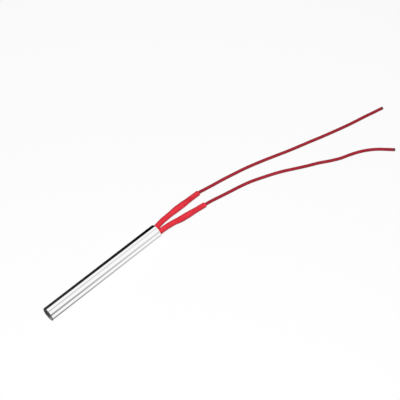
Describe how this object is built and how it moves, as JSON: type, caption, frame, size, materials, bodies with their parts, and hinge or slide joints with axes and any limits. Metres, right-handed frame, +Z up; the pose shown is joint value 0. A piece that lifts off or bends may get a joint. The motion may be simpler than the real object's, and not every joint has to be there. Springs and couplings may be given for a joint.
{
  "type": "cartridge heater",
  "caption": "Slim round cartridge heater: polished steel sheath closed at one end, wound ceramic core, and sleeved red leads from the other end. Slides into a drilled bore to heat a tool.",
  "frame": {"origin": "centre of the closed end face, on the sheath's axis", "axes": "+X along the sheath from the closed end to the leads, +Z up as the heater lies on a surface"},
  "size_m": [0.2852, 0.0714, 0.0094],
  "materials": {
    "sheath_steel": "mirror-polished stainless steel with faint grinding lines",
    "end_disc_steel": "dull turned steel, darkened by the weld",
    "ceramic": "compacted magnesium oxide, chalky",
    "resistance_wire": "drawn nickel-chromium wire",
    "potting": "cured silicone potting",
    "nickel": "drawn nickel",
    "sleeve_red": "glossy silicone-coated glass-fibre braid",
    "lead_red": "varnished glass-fibre braid"
  },
  "bodies": {
    "root": {"sheath": "sheath_steel", "end_disc": "end_disc_steel", "end_insulator": "ceramic", "core": "ceramic", "resistance_coil": "resistance_wire", "powder_fill": "ceramic", "bush": "ceramic", "seal": "potting", "terminal_pin_a": "nickel", "terminal_pin_b": "nickel", "crimp_a": "nickel", "crimp_b": "nickel", "conductor_a": "nickel", "conductor_b": "nickel", "sleeve_a": "sleeve_red", "sleeve_b": "sleeve_red", "lead_a": "lead_red", "lead_b": "lead_red"}
  },
  "joints": []
}
